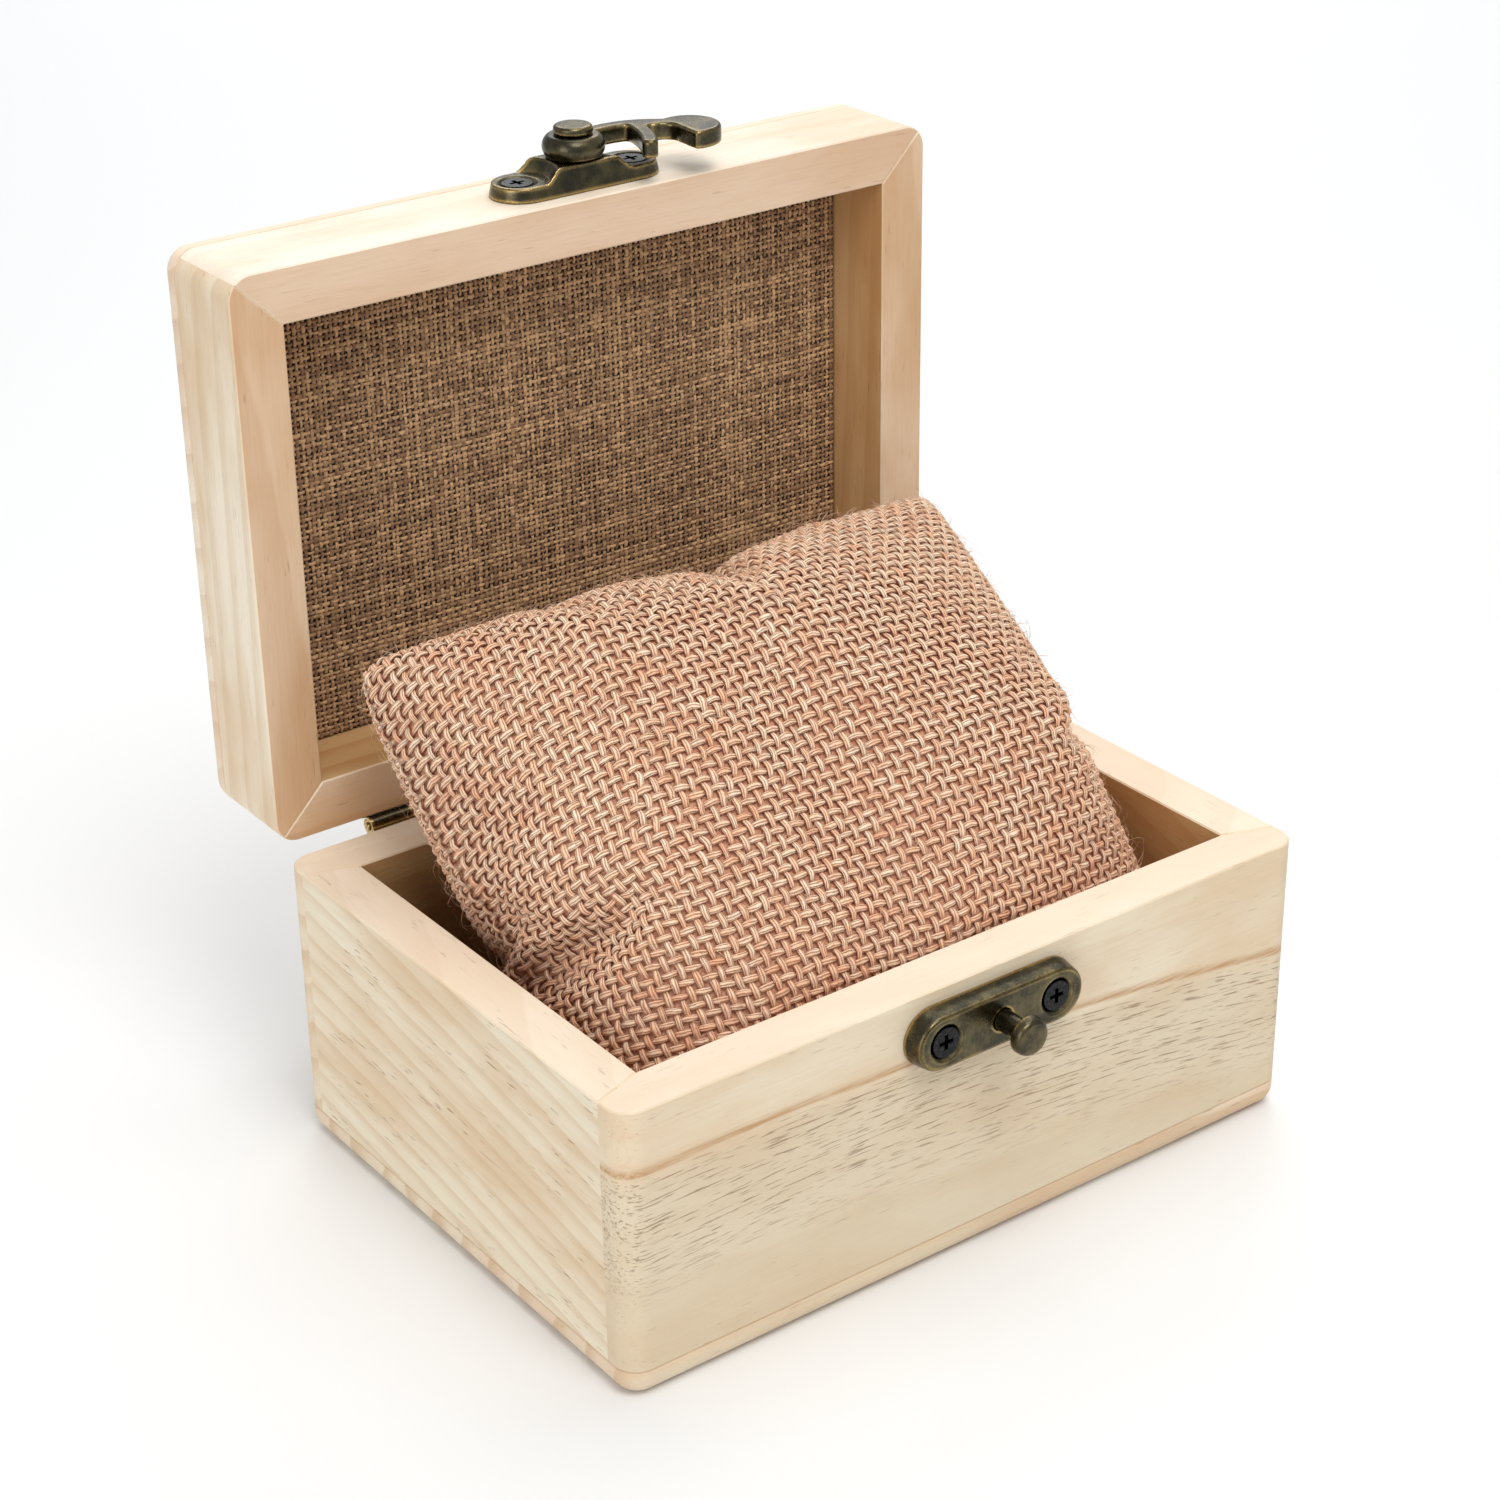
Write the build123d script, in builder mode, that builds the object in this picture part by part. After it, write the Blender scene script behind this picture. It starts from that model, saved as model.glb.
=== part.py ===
"""Watch box: a small pale wooden box with a hinged lid standing open, a swing-hook latch and a watch pillow.

Millimetres, +Z up, X across the front, -Y towards the front. The origin is the centre of the underside.
The lid stands open at 90 degrees. Its parts are drawn in lid_frame, which is the closed lid's own
frame turned with it: x across, y from the front rail to the back rail, z from the rim to the top panel.
"""
import math
import os

from build123d import *

# Box
WIDTH = 112.0
DEPTH = 80.0
BASE_HEIGHT = 42.0
LID_HEIGHT = 18.5
WALL = 7.5
PANEL = 4.0
CORNER_RADIUS = 3.4
PANEL_EDGE_RADIUS = 2.8
SEAM = 0.2                      # small bevel that shows each glued joint
BASE_LAP = 4.8                  # end grain of the front and back boards that shows on the side faces

# Lid lining
LINER_RECESS = 11.0
LINER_FABRIC = 0.9
LINER_GAP = 0.3

# Hinges
PIN_OFFSET = 1.5                # from the back face out to the hinge axis, which is level with the seam
HINGE_X = 32.0
HINGE_WIDTH = 20.0
LEAF_LENGTH = 14.0
LEAF = 1.0
BARREL_RADIUS = 1.3
PIN_RADIUS = 0.6
PIN_CLEARANCE = 0.05
KNUCKLE_GAP = 0.2
PIN_PROUD = 0.3
LEAF_CORNER = 2.0
HINGE_SCREW_X = 5.5
HINGE_SCREW_Y = 9.0

# Latch
LATCH_X = 0.6
HOOK_PLATE_TO_RIM = 6.8         # plate's centre line above the lid's rim
CATCH_TO_RIM = 6.2              # stud below the base's rim
HOOK_REACH = HOOK_PLATE_TO_RIM + CATCH_TO_RIM + 0.1
HOOK_PLATE = (26.0, 8.8, 2.0)   # length, width and the thickness of its flange
HOOK_PLATE_TAPER = 12
BOSS_HEIGHT = 3.8               # the plate's middle rises to this under the hook's eye
BOSS_SLOPE = 30
CATCH_PLATE = (28.0, 8.6, 3.0)
CATCH_PLATE_TAPER = 9
PLATE_SCREW_X = 9.2
SINK_RADIUS = 2.75
SCREW_SINK = (0.1, 0.2)         # how far the screw heads lie below the hook plate and the catch plate
SHOULDER_RADIUS = 4.5           # scalloped shoulders of the boss, round each screw
HOOK_REST_ANGLE = -16.0         # the open hook lies almost along the lid's edge
HOOK_BOTTOM = BOSS_HEIGHT + 0.15
HOOK_THICKNESS = 2.5
EYE_RADIUS = 4.3
EYE_THICKNESS = 3.0
RIVET_RADIUS = 1.2
RIVET_HEAD = 1.2
RIVET_GAP = 0.08                # between the eye and the rivet's head
NECK_RADIUS = 1.5
THROAT_CLEARANCE = 0.45
TIP_RADIUS = 4.5
TIP_BEYOND_STUD = 3.4
ARM_WIDTH = 2.3
HORN_WIDTH = 2.2
STUD_HEAD_RADIUS = 2.7
STUD_HEAD_LENGTH = 2.4
STUD_HEAD_SLOPE = 0.7

# Screws
SHANK_RADIUS = 1.0
SHANK_LENGTH = 6.2
POINT_RADIUS = 0.3
POINT_LENGTH = 1.6
COUNTERSUNK_RADIUS = 2.1
COUNTERSUNK_DEPTH = 1.3
COUNTERSUNK_RIM = 0.3
PAN_RADIUS = 2.0
PAN_TOP_RADIUS = 0.8
PAN_HEIGHT = 1.1
CROSS = (2.2, 0.6)
RECESS_DEPTH = 0.7
PILOT_CLEARANCE = 0.05
HOLE_CLEARANCE = 0.15
PRESS_FIT = 0.02                # clearance of the rivet and the stud in their plates

# Pillow
PILLOW_HALF_LENGTH = 47.8
PILLOW_COVER = 1.0

RIM_Y = DEPTH / 2 + PIN_OFFSET
LID_BACK_Z = BASE_HEIGHT + PIN_OFFSET
LID_FRONT_Z = LID_BACK_Z + DEPTH

base_frame = Plane.XY
lid_frame = Plane(origin=(0, RIM_Y, LID_BACK_Z + DEPTH / 2), x_dir=(1, 0, 0), z_dir=(0, 1, 0))
hook_face = Plane(
    origin=(LATCH_X, RIM_Y + HOOK_PLATE_TO_RIM, LID_FRONT_Z), x_dir=(1, 0, 0), z_dir=(0, 0, 1)
)
catch_face = Plane(
    origin=(LATCH_X, -DEPTH / 2, BASE_HEIGHT - CATCH_TO_RIM), x_dir=(1, 0, 0), z_dir=(0, -1, 0)
)

os.makedirs("parts", exist_ok=True)


def save(part, name):
    """Label a finished piece and write its STEP file."""
    part.label = name
    export_step(part, f"parts/{name}.step")


def hinge_base_face(x):
    """Back face of the base at the hinge axis: local y points down, away from the axis."""
    return Plane(origin=(x, DEPTH / 2, BASE_HEIGHT), x_dir=(1, 0, 0), z_dir=(0, 1, 0))


def hinge_lid_face(x):
    """Back face of the open lid, which looks down, at the hinge axis: local y points to the lid's top."""
    return Plane(origin=(x, RIM_Y, LID_BACK_Z), x_dir=(-1, 0, 0), z_dir=(0, 0, -1))


# ---------------------------------------------------------------- wooden boards

def quarter_outline(side, lap):
    """Corner points of the wedge that a board takes out of the square ring of walls."""
    half_w, half_d = WIDTH / 2, DEPTH / 2
    inner_w, inner_d = half_w - WALL, half_d - WALL
    joint = half_d - lap
    if side in ("front", "back"):
        s = -1 if side == "front" else 1
        return [
            (-half_w, s * joint), (-inner_w, s * inner_d), (inner_w, s * inner_d),
            (half_w, s * joint), (half_w, s * half_d), (-half_w, s * half_d),
        ]
    s = -1 if side == "left" else 1
    return [(s * half_w, -joint), (s * inner_w, -inner_d), (s * inner_w, inner_d), (s * half_w, joint)]


def wall_board(name, side, frame, start, height, lap, screw_holes=()):
    """One board of a four-board frame, from start to start + height along the frame's z."""
    with BuildPart() as board:
        with BuildSketch(frame.offset(start)):
            RectangleRounded(WIDTH, DEPTH, CORNER_RADIUS)
            Rectangle(WIDTH - 2 * WALL, DEPTH - 2 * WALL, mode=Mode.SUBTRACT)
            Polygon(*quarter_outline(side, lap), align=None, mode=Mode.INTERSECT)
        extrude(amount=height)
        rims = board.edges().group_by(Axis(frame.origin, frame.z_dir))
        chamfer(rims[0] + rims[-1], SEAM)
        for face, x, y in screw_holes:
            with BuildSketch(face.offset(-SHANK_LENGTH - 0.2)):
                with Locations((x, y)):
                    Circle(SHANK_RADIUS + PILOT_CLEARANCE)
            extrude(amount=SHANK_LENGTH + 0.4, mode=Mode.SUBTRACT)
    save(board.part, name)


def panel(name, frame, start, outer):
    """Full-size panel that closes a frame of boards; its outer perimeter is rounded over."""
    with BuildPart() as sheet:
        with BuildSketch(frame.offset(start)):
            RectangleRounded(WIDTH, DEPTH, CORNER_RADIUS)
        extrude(amount=PANEL)
        levels = sheet.edges().group_by(Axis(frame.origin, frame.z_dir))
        fillet(levels[outer], PANEL_EDGE_RADIUS)
        levels = sheet.edges().group_by(Axis(frame.origin, frame.z_dir))
        chamfer(levels[-1 - outer] if outer == 0 else levels[0], SEAM)
    save(sheet.part, name)


hinge_centres = (("left", -HINGE_X), ("right", HINGE_X))
plate_holes = [(-PLATE_SCREW_X, 0), (PLATE_SCREW_X, 0)]
leaf_holes = [(-HINGE_SCREW_X, HINGE_SCREW_Y), (HINGE_SCREW_X, HINGE_SCREW_Y)]

hook_pilots = [(hook_face, x, y) for x, y in plate_holes]
catch_pilots = [(catch_face, x, y) for x, y in plate_holes]
base_hinge_pilots = [(hinge_base_face(cx), x, y) for _, cx in hinge_centres for x, y in leaf_holes]
lid_hinge_pilots = [(hinge_lid_face(cx), x, y) for _, cx in hinge_centres for x, y in leaf_holes]

for side, pilots in (("front", catch_pilots), ("back", base_hinge_pilots), ("left", ()), ("right", ())):
    wall_board(f"base_{side}_board", side, base_frame, PANEL, BASE_HEIGHT - PANEL, BASE_LAP, pilots)
panel("base_bottom_panel", base_frame, 0, 0)

for side, pilots in (("front", hook_pilots), ("back", lid_hinge_pilots), ("left", ()), ("right", ())):
    wall_board(f"lid_{side}_rail", side, lid_frame, 0, LID_HEIGHT - PANEL, 0, pilots)
panel("lid_top_panel", lid_frame, LID_HEIGHT - PANEL, -1)


# ---------------------------------------------------------------- lid lining

liner_size = (WIDTH - 2 * WALL - 2 * LINER_GAP, DEPTH - 2 * WALL - 2 * LINER_GAP)

with BuildPart() as liner_board:
    with BuildSketch(lid_frame.offset(LINER_RECESS + LINER_FABRIC)):
        Rectangle(*liner_size)
    extrude(amount=LID_HEIGHT - PANEL - LINER_RECESS - LINER_FABRIC)
save(liner_board.part, "lid_liner_board")

with BuildPart() as liner_fabric:
    with BuildSketch(lid_frame.offset(LINER_RECESS)):
        Rectangle(*liner_size)
    extrude(amount=LINER_FABRIC)
save(liner_fabric.part, "lid_liner_fabric")


# ---------------------------------------------------------------- screws

def crosses(face, height, points):
    """Outline of the cross recesses in the screw heads at the given points."""
    with BuildSketch(face.offset(height)) as outline:
        with Locations(*points):
            Rectangle(*CROSS)
            Rectangle(*reversed(CROSS))
    return outline.sketch


def countersunk_screws(name, face, head_top):
    """The two flat-headed screws of a latch plate."""
    with BuildPart() as screws:
        for x, y in plate_holes:
            seat = Plane(origin=face.from_local_coords((x, y, 0)), x_dir=face.x_dir, z_dir=face.z_dir)
            with BuildSketch(Plane(origin=seat.origin, x_dir=seat.x_dir, z_dir=-seat.y_dir)):
                with BuildLine():
                    Polyline(
                        (0, -SHANK_LENGTH), (POINT_RADIUS, -SHANK_LENGTH),
                        (SHANK_RADIUS, -SHANK_LENGTH + POINT_LENGTH),
                        (SHANK_RADIUS, head_top - COUNTERSUNK_DEPTH),
                        (COUNTERSUNK_RADIUS, head_top - COUNTERSUNK_RIM), (COUNTERSUNK_RADIUS, head_top),
                        (0, head_top), close=True,
                    )
                make_face()
            revolve(axis=Axis(seat.origin, seat.z_dir))
        extrude(crosses(face, head_top, plate_holes), amount=-RECESS_DEPTH, mode=Mode.SUBTRACT)
    save(screws.part, name)


def pan_screws(name, face, head_bottom):
    """The two round-headed screws of a hinge leaf."""
    top = head_bottom + PAN_HEIGHT
    with BuildPart() as screws:
        for x, y in leaf_holes:
            seat = Plane(origin=face.from_local_coords((x, y, 0)), x_dir=face.x_dir, z_dir=face.z_dir)
            with BuildSketch(Plane(origin=seat.origin, x_dir=seat.x_dir, z_dir=-seat.y_dir)):
                with BuildLine():
                    dome = ThreePointArc((PAN_RADIUS, head_bottom), (1.65, top - 0.4), (PAN_TOP_RADIUS, top))
                    Polyline(
                        dome @ 1, (0, top), (0, -SHANK_LENGTH), (POINT_RADIUS, -SHANK_LENGTH),
                        (SHANK_RADIUS, -SHANK_LENGTH + POINT_LENGTH), (SHANK_RADIUS, head_bottom), dome @ 0,
                    )
                make_face()
            revolve(axis=Axis(seat.origin, seat.z_dir))
        extrude(crosses(face, top, leaf_holes), amount=-RECESS_DEPTH, mode=Mode.SUBTRACT)
    save(screws.part, name)


# ---------------------------------------------------------------- hinges

def knuckle_spans(own_outer):
    """x ranges of a leaf's own knuckles and of the other leaf's, out of three equal stretches."""
    third = HINGE_WIDTH / 3
    outer = [(-HINGE_WIDTH / 2, -third / 2), (third / 2, HINGE_WIDTH / 2)]
    middle = [(-third / 2, third / 2)]
    return (outer, middle) if own_outer else (middle, outer)


def hinge_leaf(name, face, own_outer):
    """A flat leaf with its knuckles rolled round the pin; local y runs away from the axis."""
    own, other = knuckle_spans(own_outer)
    with BuildPart() as leaf:
        with BuildSketch(face):
            with Locations((0, LEAF_LENGTH / 2)):
                Rectangle(HINGE_WIDTH, LEAF_LENGTH)
            fillet(vertices().group_by(Axis.Y)[-1], LEAF_CORNER)
            for low, high in other:
                relief = BARREL_RADIUS + 2 * KNUCKLE_GAP
                with Locations(((low + high) / 2, 0)):
                    Rectangle(high - low + 2 * KNUCKLE_GAP, 2 * relief, mode=Mode.SUBTRACT)
        extrude(amount=LEAF)
        for low, high in own:
            inset_low = low if low == -HINGE_WIDTH / 2 else low + KNUCKLE_GAP / 2
            inset_high = high if high == HINGE_WIDTH / 2 else high - KNUCKLE_GAP / 2
            start = face.from_local_coords((inset_low, 0, PIN_OFFSET))
            with BuildSketch(Plane(origin=start, x_dir=face.y_dir, z_dir=face.x_dir)):
                Circle(BARREL_RADIUS)
            extrude(amount=inset_high - inset_low)
        bore = face.from_local_coords((-HINGE_WIDTH, 0, PIN_OFFSET))
        with BuildSketch(Plane(origin=bore, x_dir=face.y_dir, z_dir=face.x_dir)):
            Circle(PIN_RADIUS + PIN_CLEARANCE)
        extrude(amount=2 * HINGE_WIDTH, mode=Mode.SUBTRACT)
        with BuildSketch(face):
            with Locations(*leaf_holes):
                Circle(SHANK_RADIUS + HOLE_CLEARANCE)
        extrude(amount=LEAF, mode=Mode.SUBTRACT)
    save(leaf.part, name)


for side, x in hinge_centres:
    hinge_leaf(f"{side}_hinge_base_leaf", hinge_base_face(x), True)
    hinge_leaf(f"{side}_hinge_lid_leaf", hinge_lid_face(x), False)
    pan_screws(f"{side}_hinge_base_screws", hinge_base_face(x), LEAF)
    pan_screws(f"{side}_hinge_lid_screws", hinge_lid_face(x), LEAF)
    pin_end = x - HINGE_WIDTH / 2 - PIN_PROUD
    with BuildPart() as pin:
        with BuildSketch(Plane(origin=(pin_end, RIM_Y, BASE_HEIGHT), z_dir=(1, 0, 0))):
            Circle(PIN_RADIUS)
        extrude(amount=HINGE_WIDTH + 2 * PIN_PROUD)
        chamfer(pin.edges(), 0.15)
    save(pin.part, f"{side}_hinge_pin")


# ---------------------------------------------------------------- latch

def screw_seats(face, thickness):
    """Countersink a latch plate for its two screws, whose heads sit a little below its face."""
    with Locations(*[Location(face.offset(thickness)) * Location((x, y, 0)) for x, y in plate_holes]):
        CounterSinkHole(SHANK_RADIUS + HOLE_CLEARANCE, SINK_RADIUS, counter_sink_angle=90)


with BuildPart() as hook_plate:
    with BuildSketch(hook_face):
        SlotOverall(HOOK_PLATE[0], HOOK_PLATE[1])
    extrude(amount=BOSS_HEIGHT, taper=HOOK_PLATE_TAPER)
    flange = hook_face.offset(HOOK_PLATE[2])
    for end in (-1, 1):
        with BuildSketch(flange):
            with Locations((end * PLATE_SCREW_X, 0)):
                Circle(SHOULDER_RADIUS)
            with Locations((end * HOOK_PLATE[0] / 2, 0)):
                Rectangle(HOOK_PLATE[0] - 2 * PLATE_SCREW_X, 2 * SHOULDER_RADIUS)
        extrude(amount=BOSS_HEIGHT, taper=-BOSS_SLOPE, mode=Mode.SUBTRACT)
    fillet(hook_plate.faces().sort_by(Axis.Z)[-1].edges(), 0.3)
    screw_seats(hook_face, HOOK_PLATE[2])
    with BuildSketch(hook_face):
        Circle(RIVET_RADIUS + PRESS_FIT)
    extrude(amount=BOSS_HEIGHT, mode=Mode.SUBTRACT)
save(hook_plate.part, "hook_plate")
countersunk_screws("hook_plate_screws", hook_face, HOOK_PLATE[2] - SCREW_SINK[0])

with BuildPart() as rivet:
    head_base = HOOK_BOTTOM + EYE_THICKNESS + RIVET_GAP
    with BuildSketch(hook_face):
        Circle(RIVET_RADIUS)
    extrude(amount=head_base)
    with BuildSketch(hook_face.offset(head_base)):
        Circle(STUD_HEAD_RADIUS)
    extrude(amount=RIVET_HEAD)
    fillet(rivet.edges().group_by(Axis.Z)[-1], 0.5)
save(rivet.part, "hook_rivet")

hook_level = hook_face.offset(HOOK_BOTTOM)
arm_frame = Plane(
    origin=hook_level.origin,
    x_dir=(math.cos(math.radians(HOOK_REST_ANGLE)), math.sin(math.radians(HOOK_REST_ANGLE)), 0),
    z_dir=(0, 0, 1),
)
THROAT_RADIUS = NECK_RADIUS + THROAT_CLEARANCE
TIP_CENTRE = (HOOK_REACH + TIP_BEYOND_STUD, 0.3)

bow = ThreePointArc((2.6, 2.6), (7.8, 4.3), (HOOK_REACH + 0.6, 3.0))
horn = ThreePointArc((9.9, 3.2), (10.0, -1.0), (9.2, -4.9))

with BuildPart() as hook_arm:
    with BuildSketch(arm_frame):
        Circle(EYE_RADIUS - 0.4)
        SlotArc(bow, ARM_WIDTH)
        SlotArc(horn, HORN_WIDTH)
        with Locations(TIP_CENTRE):
            Circle(TIP_RADIUS)
        with Locations((HOOK_REACH, 0)):
            Circle(THROAT_RADIUS, mode=Mode.SUBTRACT)
        Polygon(
            (HOOK_REACH - THROAT_RADIUS, 0), (HOOK_REACH + THROAT_RADIUS, 0),
            (HOOK_REACH + THROAT_RADIUS + 1.4, -6), (HOOK_REACH - THROAT_RADIUS, -6),
            align=None, mode=Mode.SUBTRACT,
        )
        for step in (0.6, -0.6, -0.6, 0.6):         # eases the inner and outer corners
            offset(amount=step)
    extrude(amount=HOOK_THICKNESS)
    fillet(hook_arm.edges().group_by(Axis.Z)[-1], 0.5)
    with BuildSketch(Plane(origin=arm_frame.origin, x_dir=arm_frame.x_dir, z_dir=-arm_frame.y_dir)):
        with BuildLine():
            ThreePointArc(
                (EYE_RADIUS - 0.6, 0), (EYE_RADIUS, EYE_THICKNESS / 2), (EYE_RADIUS - 0.9, EYE_THICKNESS)
            )
            Polyline((EYE_RADIUS - 0.9, EYE_THICKNESS), (0, EYE_THICKNESS), (0, 0), (EYE_RADIUS - 0.6, 0))
        make_face()
    revolve(axis=Axis(arm_frame.origin, arm_frame.z_dir))
    with BuildSketch(arm_frame.offset(-1)):
        Circle(RIVET_RADIUS + PIN_CLEARANCE)
    extrude(amount=EYE_THICKNESS + 2, mode=Mode.SUBTRACT)
save(hook_arm.part, "hook_arm")

with BuildPart() as catch_plate:
    with BuildSketch(catch_face):
        SlotOverall(CATCH_PLATE[0], CATCH_PLATE[1])
    extrude(amount=CATCH_PLATE[2], taper=CATCH_PLATE_TAPER)
    fillet(catch_plate.edges().group_by(Axis.Y)[0], 0.45)
    screw_seats(catch_face, CATCH_PLATE[2])
    with BuildSketch(catch_face):
        Circle(NECK_RADIUS + PRESS_FIT)
    extrude(amount=CATCH_PLATE[2], mode=Mode.SUBTRACT)
save(catch_plate.part, "catch_plate")
countersunk_screws("catch_plate_screws", catch_face, CATCH_PLATE[2] - SCREW_SINK[1])

with BuildPart() as stud:
    neck_end = HOOK_BOTTOM + HOOK_THICKNESS + 0.2
    with BuildSketch(Plane(origin=catch_face.origin, x_dir=(1, 0, 0), z_dir=(0, 0, 1))):
        with BuildLine():
            tip = neck_end + STUD_HEAD_LENGTH
            shoulder = Polyline(
                (0, 0), (NECK_RADIUS, 0), (NECK_RADIUS, -neck_end),
                (STUD_HEAD_RADIUS, -neck_end - STUD_HEAD_SLOPE), (STUD_HEAD_RADIUS - 0.1, -tip + 0.7),
            )
            nose = TangentArc(shoulder @ 1, (STUD_HEAD_RADIUS - 0.8, -tip), tangent=shoulder % 1)
            Polyline(nose @ 1, (0, -tip), (0, 0))
        make_face()
    revolve(axis=Axis(catch_face.origin, catch_face.z_dir))
save(stud.part, "catch_stud")


# ---------------------------------------------------------------- pillow

PILLOW_PROFILE = [              # (y, z) of the middle section: it leans from the front wall to the back
    (-26, 7.6), (-31.4, 22), (-31, 42), (-22, 59), (-6, 72.5), (12, 78.5),
    (26, 76), (31.5, 67), (27, 47), (18, 26.5), (6, 11), (-10, 6.0),
]
PILLOW_CENTRE = (0.0, 40.0)


def pillow_body(inset):
    """Closed cushion form: the middle section carried along X and drawn in towards both ends."""
    stations = 9
    with BuildPart() as body:
        for i in range(stations):
            t = -1 + 2 * i / (stations - 1)
            x = t * (PILLOW_HALF_LENGTH - inset)
            swell = 0.72 + 0.28 * math.sqrt(max(0.0, 1 - t**4))
            with BuildSketch(Plane(origin=(x, 0, 0), x_dir=(0, 1, 0), z_dir=(1, 0, 0))):
                with BuildLine():
                    cy, cz = PILLOW_CENTRE
                    reach = [math.hypot(y - cy, z - cz) for y, z in PILLOW_PROFILE]
                    Spline(
                        *[
                            (cy + (y - cy) * swell * (r - inset) / r, cz + (z - cz) * swell * (r - inset) / r)
                            for (y, z), r in zip(PILLOW_PROFILE, reach)
                        ],
                        periodic=True,
                    )
                make_face()
        loft()
    return body.part


with BuildPart() as pillow_cover:
    add(pillow_body(0))
    add(pillow_body(PILLOW_COVER), mode=Mode.SUBTRACT)
save(pillow_cover.part, "pillow_cover")

with BuildPart() as pillow_filling:
    add(pillow_body(PILLOW_COVER + 0.2))
save(pillow_filling.part, "pillow_filling")
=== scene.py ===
"""Looks of the watch box: bare pale wood, antique brass hardware, a linen lining and a woven jute pillow.

Everything is in metres in the CAD frame. MM turns the sizes, which are written in millimetres, into metres.
"""
import math

import bpy
import numpy as np
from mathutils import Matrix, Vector


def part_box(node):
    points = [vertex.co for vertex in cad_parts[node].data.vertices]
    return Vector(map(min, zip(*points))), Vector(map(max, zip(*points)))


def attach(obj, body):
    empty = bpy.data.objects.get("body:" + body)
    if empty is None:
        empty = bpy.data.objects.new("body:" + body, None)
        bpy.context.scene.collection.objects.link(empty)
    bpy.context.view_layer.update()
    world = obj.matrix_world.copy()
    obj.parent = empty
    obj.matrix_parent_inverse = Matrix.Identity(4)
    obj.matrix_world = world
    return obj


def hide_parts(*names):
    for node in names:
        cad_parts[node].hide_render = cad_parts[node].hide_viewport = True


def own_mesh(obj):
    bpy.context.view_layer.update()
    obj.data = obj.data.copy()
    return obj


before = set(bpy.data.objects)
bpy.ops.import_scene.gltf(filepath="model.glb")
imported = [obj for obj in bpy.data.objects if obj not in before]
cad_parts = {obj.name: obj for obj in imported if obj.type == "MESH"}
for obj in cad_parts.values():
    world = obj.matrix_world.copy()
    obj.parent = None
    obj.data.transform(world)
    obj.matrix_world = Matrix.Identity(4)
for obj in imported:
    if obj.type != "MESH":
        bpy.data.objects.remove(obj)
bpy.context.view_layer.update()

MM = 0.001
RANDOM = np.random.default_rng(7)

# Camera, which sees the box from its front left
CAMERA_AZIMUTH = -36.3
CAMERA_ELEVATION = 26.77
CAMERA_ROLL = -0.86
CAMERA_LENS = 75.6
CAMERA_TARGET = Vector((0, 0, 0.030))
CAMERA_OFFSET = Vector((-0.00599, 0.02426, 0.43235))

# Pillow: its cloth, and the form that the cloth takes
PILLOW_FABRIC = (104 * MM, 96 * MM)
PILLOW_GRID = (51, 47)           # points across and down each panel
PILLOW_CENTRE = np.array([0, 2.2 * MM, 39.5 * MM])
PILLOW_HALF_WIDTH = 47.9 * MM
PILLOW_HALF_LENGTH = 44.5 * MM
PILLOW_FRONT_SWELL = 27 * MM
PILLOW_BACK_SWELL = 19 * MM
PILLOW_LEAN = 45.5               # degrees from level, top edge towards the lid
PILLOW_FULLNESS = 0.72           # below 1, the sides are fuller than a thin cushion's
PILLOW_PUSH = 0.75               # how far the wadding pushes the drawn-in edges back out
WAIST_PLACE = -3 * MM            # across the pillow
WAIST_WIDTH = 9 * MM
WAIST_DEPTH = 0.07               # share of the swell that is lost there
SIMULATION_SCALE = 10.0          # Blender's Cloth is steadier on a piece about a metre wide
SIMULATION_FRAMES = 32

# Pillow in the base and under the lid
WALL_GAP = 1.3 * MM              # from the cloth's own surface to the floor and the walls
FLOOR_ROOM = 4 * MM              # how far above the floor the cloth starts to flatten
WALL_ROOM = 3 * MM               # the same, before the front and back walls
SIDE_ROOM = 2 * MM               # the same, before the side walls
RIM_ROOM = 8 * MM                # above the rim, where the cloth comes free of the front wall
PILLOW_KEEP = 0.64               # share of its height left when the lid squeezes it
PILLOW_ANCHOR = 4.5 * MM         # height that stays put when it is squeezed

# Pillow's weave. A size without a unit is a share of the pitch
PILLOW_PITCH = 1.38 * MM         # from one yarn to the next
YARN_PIECES = 3                  # pieces that each direction of the weave is split into
YARN_LIFT = 0.20
YARN_WANDER = 0.07
YARN_HALF_WIDTH = 0.30
YARN_HALF_HEIGHT = 0.165
GROUND_DEPTH = 0.36
FUZZ_FIBRES = 4200
FUZZ_HALF_WIDTH = 0.035 * MM
FUZZ_ROOM = 0.3 * MM             # from the loose fibres to the walls and the lining

# Lid lining. A size without a unit is a share of the pitch
LINEN_PITCH = 0.80 * MM
THREAD_LIFT = 0.19
THREAD_WANDER = 0.07
THREAD_HALF_WIDTH = 0.33
THREAD_HALF_HEIGHT = 0.19
LINEN_DEPTH = 0.42               # middle of the weave, behind the front of the fabric's CAD solid
LINEN_SHADE_SHEET_DEPTH = 0.3         # dark sheet of painted shade, behind the middle of the weave
LINEN_GRID = (98, 66)            # points across and up the ground

# Cast hardware
CAST_VOXEL = 0.14 * MM
CAST_SOFTENING = 14              # smoothing steps, each over one voxel


# ---------------------------------------------------------------- material helpers

def srgb(red, green, blue):
    """A colour as seen on a screen, 0 to 255, as the linear colour that shaders use."""
    def linear(c):
        c /= 255
        return c / 12.92 if c <= 0.04045 else ((c + 0.055) / 1.055) ** 2.4
    return (linear(red), linear(green), linear(blue), 1.0)


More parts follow.
